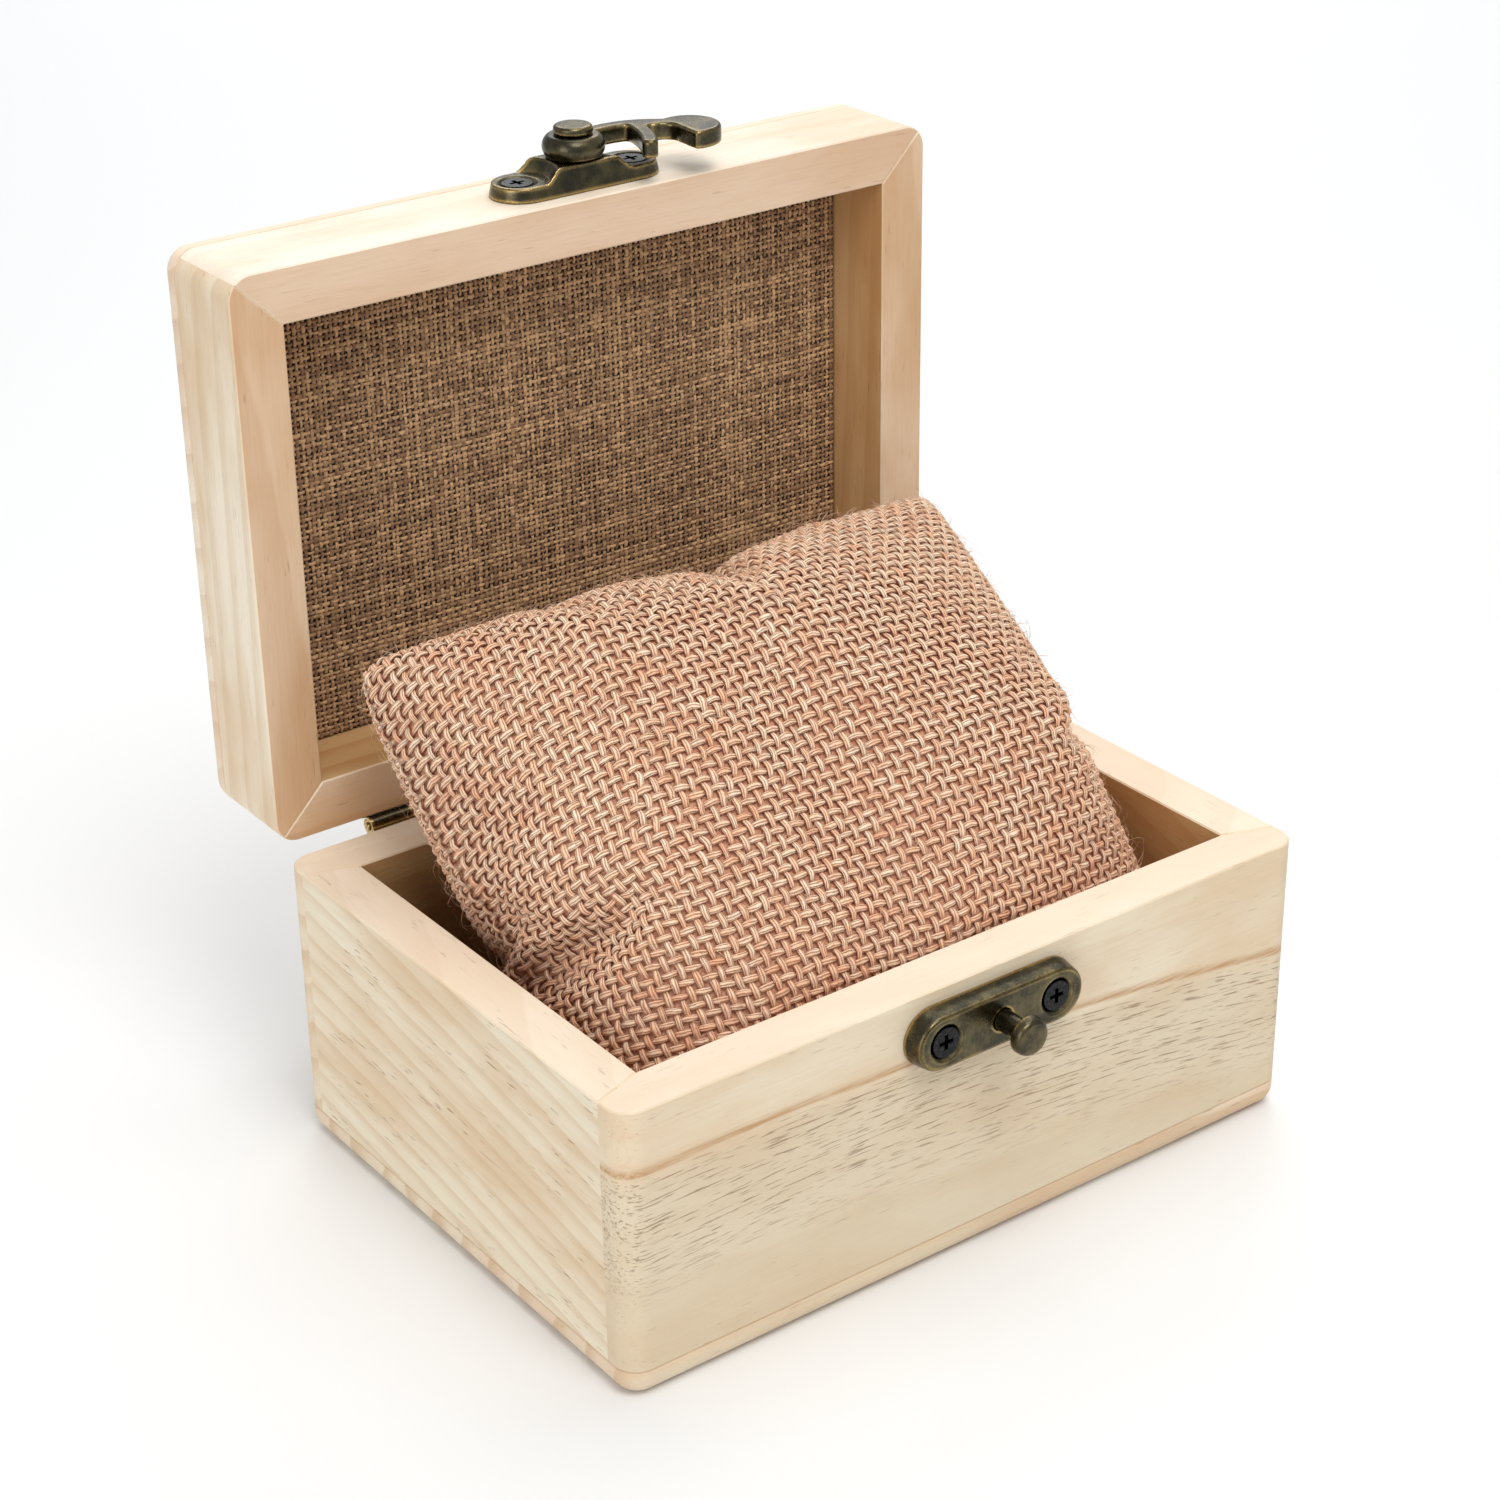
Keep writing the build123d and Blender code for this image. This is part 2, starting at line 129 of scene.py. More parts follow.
class Shader:
    """A material and short calls for the nodes that its pattern needs. A and B may be sockets or numbers."""

    def __init__(self, name, **uniform):
        self.material = bpy.data.materials.new(name)
        self.material.use_nodes = True
        self.nodes = self.material.node_tree.nodes
        self.links = self.material.node_tree.links
        self.surface = self.nodes["Principled BSDF"]
        for socket, value in uniform.items():
            self.surface.inputs[socket.replace("_", " ")].default_value = value

    def node(self, kind, inputs=None, **settings):
        """A shader node with its inputs joined or set, and its settings."""
        made = self.nodes.new("ShaderNode" + kind)
        for key, value in settings.items():
            setattr(made, key, value)
        for socket, value in (inputs or {}).items():
            if isinstance(value, bpy.types.NodeSocket):
                self.links.new(value, made.inputs[socket])
            else:
                made.inputs[socket].default_value = value
        return made

    def math(self, operation, a, b=0.0, clamp=False):
        return self.node("Math", {0: a, 1: b}, operation=operation, use_clamp=clamp).outputs[0]

    def add(self, a, b):
        return self.math("ADD", a, b)

    def times(self, a, b):
        return self.math("MULTIPLY", a, b)

    def between(self, value, low, high):
        """0 below low, 1 above high, and smooth between them."""
        inputs = {"Value": value, "From Min": low, "From Max": high}
        return self.node("MapRange", inputs, interpolation_type="SMOOTHSTEP").outputs[0]

    def mix(self, factor, a, b, blend="MIX"):
        made = self.node("Mix", data_type="RGBA", blend_type=blend)
        for index, value in ((0, factor), (6, a), (7, b)):
            if isinstance(value, bpy.types.NodeSocket):
                self.links.new(value, made.inputs[index])
            else:
                made.inputs[index].default_value = value
        return made.outputs[2]

    def vector(self, x, y, z):
        return self.node("CombineXYZ", {0: x, 1: y, 2: z}).outputs[0]

    def stretched(self, place, scales, seed, seeded=0):
        """A place with each axis scaled, to draw noise out one way, and the seed added to one axis."""
        moved = [self.times(part, scale) for part, scale in zip(place, scales)]
        moved[seeded] = self.add(moved[seeded], seed)
        return self.vector(*moved)

    def noise(self, vector, scale=1.0, detail=2.0, roughness=0.5):
        inputs = {"Vector": vector, "Scale": scale, "Detail": detail, "Roughness": roughness}
        return self.node("TexNoise", inputs).outputs[0]

    def yarn(self):
        """What yarn_tubes() keeps at its points: along, around, tone and lift."""
        names = ("along", "around", "tone", "lift")
        return [self.node("Attribute", attribute_name=name).outputs["Fac"] for name in names]

    def place(self):
        """The piece's own place, in metres."""
        return self.node("TexCoord").outputs["Object"]

    def millimetres(self):
        """The piece's own x, y and z in millimetres."""
        split = self.node("SeparateXYZ", {0: self.place()})
        return [self.times(split.outputs[i], 1 / MM) for i in range(3)]

    def bump(self, height, distance, below=None, strength=1.0):
        inputs = {"Height": height, "Distance": distance, "Strength": strength}
        if below is not None:
            inputs["Normal"] = below
        return self.node("Bump", inputs).outputs[0]

    def put(self, **sockets):
        """Joins the surface's sockets to what was made for them, and gives the finished material."""
        for socket, value in sockets.items():
            self.links.new(value, self.surface.inputs[socket.replace("_", " ")])
        return self.material


def paint(material, *names):
    """Gives CAD nodes a material of this script's own."""
    for name in names:
        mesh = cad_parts[name].data
        mesh.materials.clear()
        mesh.materials.append(material)


# ---------------------------------------------------------------- wood

PALE = srgb(236, 222, 196)
WARM_PALE = srgb(238, 226, 202)
CREAM = srgb(243, 231, 210)
CLEAR = srgb(244, 233, 216)
CLEAR_SHADE = srgb(233, 214, 190)
TAN = srgb(226, 202, 170)
PINK = srgb(233, 208, 182)
LATEWOOD = srgb(201, 163, 116)
BAND = srgb(186, 138, 88)
BELOW_BAND = srgb(212, 195, 166)
PORE = srgb(138, 98, 64)
RING_TILT = 0.35                 # how far the rings slope into the board
BAND_ARCH = -0.0009              # per millimetre squared along the board
AXES = "xyz"

# Tints of some faces: a colour, how it is blended in, and how strongly
# Painted shade, with reddish bounce light from the pillow, on the boards' inner faces
INNER_SHADE = (srgb(221, 191, 152), "MULTIPLY", 1.0)
# Partly the lid rims' own tan-pink tone, partly painted shade on these faces, which turn away from the top
# light
RIM_TONE_AND_SHADE = (srgb(236, 217, 202), "MULTIPLY", 1.0)
ROSY = (srgb(243, 226, 206), "MIX", 0.55)


def wood(name, grain, across, inner, light=PALE, shade=TAN, seed=0.0, ring=4.0, slope=0.0, bend=0.0,
         wander=7.0, ring_depth=0.45, pores=0.35, band=None, rim=("+z", ROSY)):
    """Sanded softwood. Grain and across are axes; the third axis is the depth into the board.

    The growth rings are lines across + slope * grain + bend * grain^2, a ring apart, and they tilt with
    depth so that a board's faces don't repeat each other. Wander is how far they stray, in millimetres.
    Inner is the direction, such as "+x", of the inner faces, which are browned by painted shade and
    reddish bounce light, and rim is that of the rim and its tint. Band is what dark_band() needs.
    """
    make = Shader(name, Roughness=0.62, Specular_IOR_Level=0.32)
    depth_axis = (set(AXES) - {grain, across}).pop()
    millimetres = make.millimetres()
    place = [millimetres[AXES.index(axis)] for axis in (grain, across, depth_axis)]
    along, over, depth = place
    drift = make.math("SUBTRACT", make.noise(make.stretched(place, (0.022, 0.09, 0.09), seed), 1.0, 2.0), 0.5)
    line = make.add(over, make.times(along, slope))
    line = make.add(line, make.times(make.times(along, along), bend))
    line = make.add(line, make.times(depth, RING_TILT))
    line = make.add(line, make.times(drift, wander))

    # Growth rings: a slow rise in tone, then a quick fall
    phase = make.math("FRACT", make.add(make.times(line, 1 / ring), 40.0 + seed))
    early = make.between(phase, 0.35, 0.93)
    ring_end = make.between(phase, 0.93, 1.0)
    rings = make.math("SUBTRACT", early, ring_end, clamp=True)

    # Fibres, blotches and pores, all drawn out along the grain
    fibres = make.noise(make.stretched(place, (0.10, 2.6, 2.6), seed), 1.0, 4.0, 0.65)
    blotch_place = make.stretched(place, (0.03, 0.08, 0.08), seed, seeded=2)
    blotches = make.noise(blotch_place, 1.0, 3.0, 0.55)
    pore_noise = make.noise(make.stretched(place, (0.28, 3.2, 3.2), seed), 1.0, 1.5, 0.5)
    sparse = make.between(make.noise(blotch_place, 2.7, 1.0), 0.42, 0.62)
    pore_mask = make.times(make.between(pore_noise, 0.655, 0.72), sparse)
    pore_mask = make.times(pore_mask, pores)

    colour = make.mix(make.between(blotches, 0.35, 0.68), light, shade)
    colour = make.mix(make.times(rings, ring_depth), colour, LATEWOOD)
    colour = make.mix(make.times(make.between(fibres, 0.45, 0.72), 0.16), colour, LATEWOOD)
    if band:
        colour, rows = dark_band(make, colour, place, drift, fibres, seed, *band)
        pore_mask = make.math("MAXIMUM", pore_mask, rows)
    colour = make.mix(pore_mask, colour, PORE)
    # Painted shade and reddish bounce light from the pillow on the inner faces
    colour = face_tint(make, colour, inner, *INNER_SHADE)
    # Tint of the rim, which on the lid's rims is partly painted shade
    direction, tint = rim
    colour = face_tint(make, colour, direction, *tint)

    roughness = make.add(0.56, make.times(fibres, 0.2))
    normal = make.bump(fibres, 0.10 * MM, strength=0.55)
    hollow = make.math("SUBTRACT", 1.0, pore_mask)
    normal = make.bump(hollow, 0.16 * MM, below=normal, strength=0.8)
    return make.put(Base_Color=colour, Roughness=roughness, Normal=normal)


def dark_band(make, colour, place, drift, fibres, seed, height, falls, fades):
    """A single dark ring across a board, and the rows of pores below it.

    Height is the ring's, in millimetres, falls is its slope, and the rows fade out by fades below it.
    """
    along, over, depth = place
    below = make.math("SUBTRACT", height, make.add(over, make.times(along, falls)))
    below = make.add(below, make.times(make.times(along, along), BAND_ARCH))
    below = make.add(below, make.times(drift, 2.0))
    ring_end = make.math("SUBTRACT", 1.0, make.between(below, 0.05, 0.7))
    ring = make.times(make.between(below, -1.3, 0.05), ring_end)
    ragged = make.add(0.35, make.times(make.between(fibres, 0.35, 0.65), 0.65))
    colour = make.mix(make.times(make.times(ring, ragged), 0.85), colour, BAND)
    zone_end = make.math("SUBTRACT", 1.0, make.between(below, fades * 0.55, fades))
    zone = make.times(make.between(below, 0.0, 2.0), zone_end)
    row_noise = make.noise(make.stretched((along, below, depth), (0.17, 3.4, 2.0), seed), 1.0, 2.0, 0.6)
    rows = make.times(make.times(make.between(row_noise, 0.57, 0.66), zone), 0.58)
    colour = make.mix(make.times(make.between(below, 0.0, 3.0), 0.45), colour, BELOW_BAND)
    return colour, rows


def face_tint(make, colour, direction, tone, blend, weight):
    """The colour with a tone blended in on the faces that look in a direction, such as "-y"."""
    facing = make.node("SeparateXYZ", {0: make.node("TexCoord").outputs["Normal"]})
    turned = make.times(facing.outputs[AXES.index(direction[1])], 1.0 if direction[0] == "+" else -1.0)
    return make.mix(make.times(make.between(turned, 0.6, 0.95), weight), colour, tone, blend)


def board(node, *axes, **look):
    """Gives a CAD node its own wood. The rest of what wood() takes is passed on."""
    paint(wood(node + "_wood", *axes, **look), node)


def dress_wood():
    """Each board's own grain, from its grain axis, its across axis and its inner side, given painted shade.
    """
    board("base_front_board", "x", "z", "+y", seed=3.1, ring=9.0, slope=0.07, ring_depth=0.12, pores=0.25,
          band=(31.6, 0.075, 21.0))
    board("base_back_board", "x", "z", "-y", seed=8.4, ring=6.0, slope=-0.05, ring_depth=0.35)
    board("base_left_board", "y", "z", "+x", light=WARM_PALE, seed=5.7, ring=3.6, slope=-0.16, bend=0.0006,
          wander=1.6, ring_depth=0.30, pores=0.6)
    board("base_right_board", "y", "z", "-x", seed=1.9, ring=4.6, slope=-0.2, bend=0.003, wander=3.0,
          ring_depth=0.3)
    board("base_bottom_panel", "x", "y", "+z", shade=PINK, seed=9.3, ring=7.0, slope=0.04)
    board("lid_front_rail", "x", "y", "-z", light=CLEAR, shade=CLEAR_SHADE, seed=2.2, ring=14.0, slope=0.03,
          ring_depth=0.12, pores=0.2, rim=("-y", RIM_TONE_AND_SHADE))
    board("lid_back_rail", "x", "y", "+z", light=CREAM, seed=6.6, ring=6.0, rim=("-y", RIM_TONE_AND_SHADE))
    for node, seed, inner in (("lid_left_rail", 4.4, "+x"), ("lid_right_rail", 7.7, "-x")):
        board(node, "z", "y", inner, light=CREAM, seed=seed, ring=5.0, slope=0.05, wander=3.0,
              ring_depth=0.26, pores=0.3, rim=("-y", RIM_TONE_AND_SHADE))
    board("lid_top_panel", "x", "z", "-y", light=CREAM, shade=PINK, seed=0.8, ring=6.5, slope=0.06,
          bend=0.002, wander=4.0, ring_depth=0.28)


# ---------------------------------------------------------------- metal

def antique_brass():
    """Dark bronze flats; brass on edges and round parts, partly rubbed wear, partly painted highlight; cast
    surface.
    """
    make = Shader("antique_brass_finish", Metallic=1.0)
    place = make.place()
    cast = make.noise(place, 1 / (0.45 * MM), 3.0, 0.6)
    stain = make.noise(place, 1 / (3.5 * MM), 3.0, 0.6)
    rounded = make.node("Bevel", {"Radius": 0.9 * MM}, samples=8).outputs[0]
    flat = make.node("NewGeometry").outputs["Normal"]
    turn = make.node("VectorMath", {0: rounded, 1: flat}, operation="DOT_PRODUCT").outputs["Value"]
    edge = make.math("SUBTRACT", 1.0, turn, clamp=True)
    patchy = make.times(make.math("SUBTRACT", make.add(stain, cast), 1.0), 0.03)
    # Brass along the edges: partly real rubbed wear, partly a painted highlight where light catches the
    # rounded edges
    worn_and_highlit = make.between(make.add(edge, patchy), 0.004, 0.045)
    face = make.mix(make.between(stain, 0.38, 0.66), srgb(68, 65, 54), srgb(100, 92, 68))
    face = make.mix(make.times(make.between(cast, 0.48, 0.72), 0.4), face, srgb(46, 42, 34))
    colour = make.mix(worn_and_highlit, face, srgb(204, 174, 112))
    roughness = make.add(0.16, make.times(cast, 0.26))
    normal = make.bump(cast, 0.06 * MM, strength=0.45)
    return make.put(Base_Color=colour, Roughness=roughness, Normal=normal)


def black_screw():
    """Blackened steel with a faint worn sheen."""
    make = Shader("black_screw_finish", Metallic=0.85)
    place = make.place()
    grit = make.noise(place, 1 / (0.4 * MM), 3.0, 0.6)
    colour = make.mix(make.between(grit, 0.45, 0.75), srgb(28, 28, 30), srgb(62, 61, 62))
    roughness = make.add(0.16, make.times(grit, 0.24))
    return make.put(Base_Color=colour, Roughness=roughness, Normal=make.bump(grit, 0.03 * MM, strength=0.4))


def liner_card():
    """Grey-brown card with flecks."""
    make = Shader("liner_card_finish", Roughness=0.85)
    place = make.place()
    flecks = make.noise(place, 1 / (0.8 * MM), 4.0, 0.7)
    colour = make.mix(make.between(flecks, 0.4, 0.7), srgb(132, 112, 90), srgb(98, 82, 66))
    return make.put(Base_Color=colour, Normal=make.bump(flecks, 0.05 * MM, strength=0.4))


def cast_soft(piece):
    """Rounds a piece's edges over, as in a small cast part."""
    remesh = piece.modifiers.new("Even", "REMESH")
    remesh.mode = "VOXEL"
    remesh.voxel_size = CAST_VOXEL
    remesh.use_smooth_shade = True
    smooth = piece.modifiers.new("Soften", "SMOOTH")
    smooth.factor = 0.5
    smooth.iterations = CAST_SOFTENING


def dress_hardware():
    """Brass on the hinges and the latch, black on the screws, and card behind the lining."""
    screws = [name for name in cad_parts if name.endswith("_screws")]
    cast = ["hook_plate", "hook_rivet", "hook_arm", "catch_plate", "catch_stud"]
    hinges = [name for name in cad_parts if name.endswith(("_leaf", "_pin"))]
    paint(antique_brass(), *cast, *hinges)
    paint(black_screw(), *screws)
    paint(liner_card(), "lid_liner_board")
    for name in cast:
        cast_soft(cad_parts[name])


# ---------------------------------------------------------------- yarns

def mesh_piece(name, points, faces, material, attributes=()):
    """A piece from arrays of points and of quads, with numbers kept at its points for the shader."""
    mesh = bpy.data.meshes.new(name)
    mesh.vertices.add(len(points))
    mesh.vertices.foreach_set("co", np.asarray(points, np.float32).ravel())
    mesh.loops.add(faces.size)
    mesh.loops.foreach_set("vertex_index", faces.ravel().astype(np.int32))
    mesh.polygons.add(len(faces))
    mesh.polygons.foreach_set("loop_start", np.arange(0, faces.size, faces.shape[1], dtype=np.int32))
    mesh.update(calc_edges=True)
    mesh.polygons.foreach_set("use_smooth", np.ones(len(faces), bool))
    for key, values in dict(attributes).items():
        layer = mesh.attributes.new(key, "FLOAT", "POINT")
        layer.data.foreach_set("value", np.asarray(values, np.float32).ravel())
    mesh.validate()
    mesh.materials.append(material)
    piece = bpy.data.objects.new(name, mesh)
    bpy.context.scene.collection.objects.link(piece)
    return piece


def quads(index):
    """The faces between the points of a grid, given the points' numbers (rows, columns)."""
    return np.stack([index[:-1, :-1], index[:-1, 1:], index[1:, 1:], index[1:, :-1]], -1).reshape(-1, 4)


def unit(vectors):
    """The same directions, each of length 1."""
    return vectors / np.maximum(np.linalg.norm(vectors, axis=-1, keepdims=True), 1e-12)


def yarn_tubes(name, lines, up, half_width, half_height, lift, sides, closed, material):
    """Tubes of flattened section round many centre lines of equal length.

    Lines and up are arrays (yarns, points, 3); half_width, half_height and lift are (yarns, points).
    """
    yarns, count = lines.shape[:2]
    if closed:
        tangent = unit(np.roll(lines, -1, axis=1) - np.roll(lines, 1, axis=1))
    else:
        tangent = unit(np.gradient(lines, axis=1))
    side = unit(np.cross(tangent, up))
    rise = unit(np.cross(side, tangent))
    turn = np.linspace(0, 2 * math.pi, sides, endpoint=False)
    ring = (
        lines[:, :, None]
        + side[:, :, None] * (half_width[..., None] * np.cos(turn))[..., None]
        + rise[:, :, None] * (half_height[..., None] * np.sin(turn))[..., None]
    )
    index = np.arange(yarns * count * sides).reshape(yarns, count, sides)
    if closed:
        ahead = np.roll(index, -1, axis=1)
    else:
        ahead, index = index[:, 1:], index[:, :-1]
    corners = [index, np.roll(index, -1, axis=2), np.roll(ahead, -1, axis=2), ahead]
    faces = np.stack(corners, axis=-1).reshape(-1, 4)
    step = np.linalg.norm(np.diff(lines, axis=1, prepend=lines[:, :1]), axis=-1)
    along = np.cumsum(step, axis=1) / MM
    shape = (yarns, count, sides)
    tone = RANDOM.random(yarns)[:, None, None]
    attributes = {
        "along": np.broadcast_to(along[..., None], shape),
        "around": np.broadcast_to(turn / (2 * math.pi), shape),
        "tone": np.broadcast_to(tone, shape),
        "lift": np.broadcast_to(lift[..., None], shape),
    }
    return mesh_piece(name, ring.reshape(-1, 3), faces, material, attributes)


def spline_weights(place, count, periodic):
    """Which four rows of a grid a uniform cubic B-spline takes at each place, and how much of each."""
    base = np.floor(place).astype(int)
    t = place - base
    shares = [(1 - t) ** 3, 3 * t**3 - 6 * t**2 + 4, -3 * t**3 + 3 * t**2 + 3 * t + 1, t**3]
    weights = np.stack(shares, axis=-1) / 6
    rows = base[:, None] + np.arange(-1, 3)
    rows = rows % count if periodic else np.clip(rows, 0, count - 1)
    return rows, weights


def sample(grid, rows_at, columns_at):
    """Points of a smooth surface through a grid (rows, columns, 3) whose columns run round in a ring."""
    rows, row_weights = spline_weights(rows_at, grid.shape[0], False)
    columns, column_weights = spline_weights(columns_at, grid.shape[1], True)
    half = np.einsum("ak,akcd->acd", row_weights, grid[rows])
    return np.einsum("bk,abkd->abd", column_weights, half[:, columns])


def surface(grid, rows_at, columns_at):
    """Points and outward normals of that surface."""
    step = 0.05
    points = sample(grid, rows_at, columns_at)
    down = sample(grid, rows_at + step, columns_at) - sample(grid, rows_at - step, columns_at)
    round_ring = sample(grid, rows_at, columns_at + step) - sample(grid, rows_at, columns_at - step)
    normal = unit(np.cross(round_ring, down))
    outward = points - points.mean(axis=(0, 1))
    return points, normal * np.sign((normal * outward).sum())


def smooth_noise(yarns, count, waves, size):
    """A slow random change along each yarn that joins up with itself."""
    t = np.linspace(0, 2 * math.pi, count, endpoint=False)
    total = np.zeros((yarns, count))
    for n in waves:
        phase = RANDOM.random((yarns, 1)) * 2 * math.pi
        total += np.cos(n * t[None] + phase) * RANDOM.normal(0, 1, (yarns, 1))
    return total * size / math.sqrt(len(waves))


def jute(name, plies):
    """Coarse yarn of a few flat plies: pale on top of the weave, with painted shade between the plies
    and red-brown painted shade where it dives under.
    """
    make = Shader(name, Roughness=0.88, Sheen_Weight=0.05, Sheen_Roughness=0.5)
    along, around, tone, lift = make.yarn()
    seed = make.times(tone, 57.0)
    turned = make.add(make.times(around, plies), make.times(along, 0.14))
    wobble = make.noise(make.vector(make.times(along, 0.45), make.times(turned, 0.35), seed), 1.0, 3.0, 0.6)
    wave = make.math("SINE", make.times(make.add(turned, make.times(wobble, 1.6)), 2 * math.pi))
    fibre_place = make.vector(make.times(along, 0.6), make.times(around, 26.0), seed)
    fibres = make.noise(fibre_place, 1.0, 3.0, 0.7)
    lines = make.between(make.add(wave, make.times(make.math("SUBTRACT", fibres, 0.5), 1.6)), -0.2, -0.95)
    length_tone = make.noise(make.vector(make.times(along, 0.16), seed, 0.0), 1.0, 2.0)
    place = make.place()
    patches = make.noise(place, 1 / (16 * MM), 3.0, 0.6)
    height = make.node("SeparateXYZ", {0: place}).outputs[2]
    low = make.between(height, 62 * MM, 28 * MM)
    redder = make.add(make.times(make.between(length_tone, 0.48, 0.74), 0.40), make.times(low, 0.34))
    redder = make.add(redder, make.times(make.between(patches, 0.45, 0.7), 0.16))
    colour = make.mix(make.between(wobble, 0.35, 0.65), srgb(252, 204, 166), srgb(255, 234, 205))
    colour = make.mix(redder, colour, srgb(240, 162, 118))
    # Painted shade in the grooves between the plies
    colour = make.mix(make.times(lines, 0.72), colour, srgb(188, 116, 84))
    colour = make.mix(make.times(make.between(fibres, 0.58, 0.75), 0.35), colour, srgb(194, 134, 102))
    # Red-brown painted shade where the yarn dives under the other yarns
    colour = make.mix(make.times(make.between(lift, 0.15, -0.85), 0.75), colour, srgb(194, 120, 88))
    normal = make.bump(make.math("SUBTRACT", 1.0, lines), 0.16 * MM, strength=0.8)
    normal = make.bump(fibres, 0.10 * MM, below=normal, strength=0.6)
    return make.put(Base_Color=colour, Normal=normal)


def jute_ground():
    """The rosy cloth seen through the gaps of the weave."""
    make = Shader("pillow_ground_finish", Roughness=0.95)
    place = make.place()
    fluff = make.noise(place, 1 / (0.5 * MM), 4.0, 0.7)
    colour = make.mix(make.between(fluff, 0.4, 0.7), srgb(212, 150, 118), srgb(242, 188, 154))
    return make.put(Base_Color=colour, Normal=make.bump(fluff, 0.2 * MM, strength=0.7))


# ---------------------------------------------------------------- pillow

def panel_grid(columns, rows):
    """The places of a flat panel's points, across and down, each from -1 to 1."""
    return np.meshgrid(np.linspace(-1, 1, columns), np.linspace(-1, 1, rows))


def simulated_panels(columns, rows):
    """Two flat panels sewn together round their edges and blown up with Blender's Cloth."""
    width, length = PILLOW_FABRIC
    u, v = panel_grid(columns, rows)
    x, y = u * width / 2 * SIMULATION_SCALE, v * length / 2 * SIMULATION_SCALE
    start = 0.06 * (1 - u**2) * (1 - v**2)
    top = np.stack([x, y, start], -1).reshape(-1, 3)
    bottom = np.stack([x, y, -start], -1).reshape(-1, 3)
    index = np.arange(columns * rows).reshape(rows, columns)
    inside = np.zeros((rows, columns), bool)
    inside[1:-1, 1:-1] = True
    under = index.copy()
    under[inside] = np.arange(inside.sum()) + columns * rows
    points = np.concatenate([top, bottom[inside.ravel()]])
    faces = np.concatenate([quads(index), quads(under)[:, ::-1]])
    body = mesh_piece("pillow_simulation", points, faces, bpy.data.materials.new("unused"))
    body.modifiers.new("Cloth", "CLOTH")
    cloth = body.modifiers["Cloth"].settings
    cloth.quality = 7
    cloth.mass = 0.2
    cloth.tension_stiffness = 60
    cloth.compression_stiffness = 60
    cloth.shear_stiffness = 20
    cloth.bending_stiffness = 1.5
    cloth.air_damping = 2
    cloth.use_pressure = True
    cloth.uniform_pressure_force = 4.5
    cloth.effector_weights.gravity = 0
    scene = bpy.context.scene
    for step in range(1, SIMULATION_FRAMES + 1):
        scene.frame_set(step)
    shaped = body.evaluated_get(bpy.context.evaluated_depsgraph_get())
    moved = np.array([p.co for p in shaped.data.vertices])
    scene.frame_set(1)
    bpy.data.objects.remove(body)
    moved -= moved.mean(axis=0)
    return moved[index], moved[under]


def soft_limit(values, limit, room):
    """Values past limit are pressed back, starting room before it, as by a wall."""
    past = np.maximum(values - (limit - room), 0)
    return np.where(past > 0, limit - room + room * np.tanh(past / room), values)


def both_ways(values, limit, room):
    """Values pressed back on either side of 0."""
    return np.sign(values) * soft_limit(np.abs(values), limit, room)


def filled_out(places, reach, axis):
    """Places from -1 to 1, with the panel's drawn-in edges pushed most of the way back out."""
    edge = np.abs(places).max(axis=axis, keepdims=True)
    return places / (PILLOW_PUSH * edge + (1 - PILLOW_PUSH) * reach)


def shape_pillow(top, bottom):
    """The two panels at the pillow's size, leaning in the base and pressed back by its floor and walls."""
    both = np.concatenate([top.reshape(-1, 3), bottom.reshape(-1, 3)])
    reach = np.abs(both).max(axis=0)
    lean = math.radians(PILLOW_LEAN)
    axes = np.array([
        [1, 0, 0],
        [0, math.cos(lean), math.sin(lean)],
        [0, -math.sin(lean), math.cos(lean)],
    ])
    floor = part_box("base_bottom_panel")[1].z + WALL_GAP
    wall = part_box("base_back_board")[0].y - WALL_GAP
    side = min(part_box("base_right_board")[0].x - WALL_GAP, PILLOW_HALF_WIDTH)
    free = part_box("base_back_board")[1].z + RIM_ROOM
    shaped = []
    for panel, swell in ((top, PILLOW_FRONT_SWELL), (bottom, PILLOW_BACK_SWELL)):
        x = filled_out(panel[..., 0], reach[0], 1) * PILLOW_HALF_WIDTH
        v = filled_out(panel[..., 1], reach[1], 0) * PILLOW_HALF_LENGTH
        t = panel[..., 2] / reach[2]
        t = np.sign(t) * np.abs(t) ** PILLOW_FULLNESS * swell
        t = t * (1 - WAIST_DEPTH * np.exp(-((x - WAIST_PLACE) / WAIST_WIDTH) ** 2))
        place = PILLOW_CENTRE + np.stack([x, v, t], -1) @ axes
        place[..., 2] = -soft_limit(-place[..., 2], -floor, FLOOR_ROOM)
        place[..., 1] = soft_limit(place[..., 1], wall, WALL_ROOM)
        pressed = -soft_limit(-place[..., 1], wall, WALL_ROOM)
        inside = np.clip((free - place[..., 2]) / RIM_ROOM, 0, 1)
        place[..., 1] = place[..., 1] * (1 - inside) + pressed * inside
        place[..., 0] = both_ways(place[..., 0], side, SIDE_ROOM)
        shaped.append(place)
    return shaped


def ring_of(top, bottom):
    """Both panels as one grid whose columns run across the top and back across the bottom."""
    return np.concatenate([top, bottom[:, -2:0:-1]], axis=1)


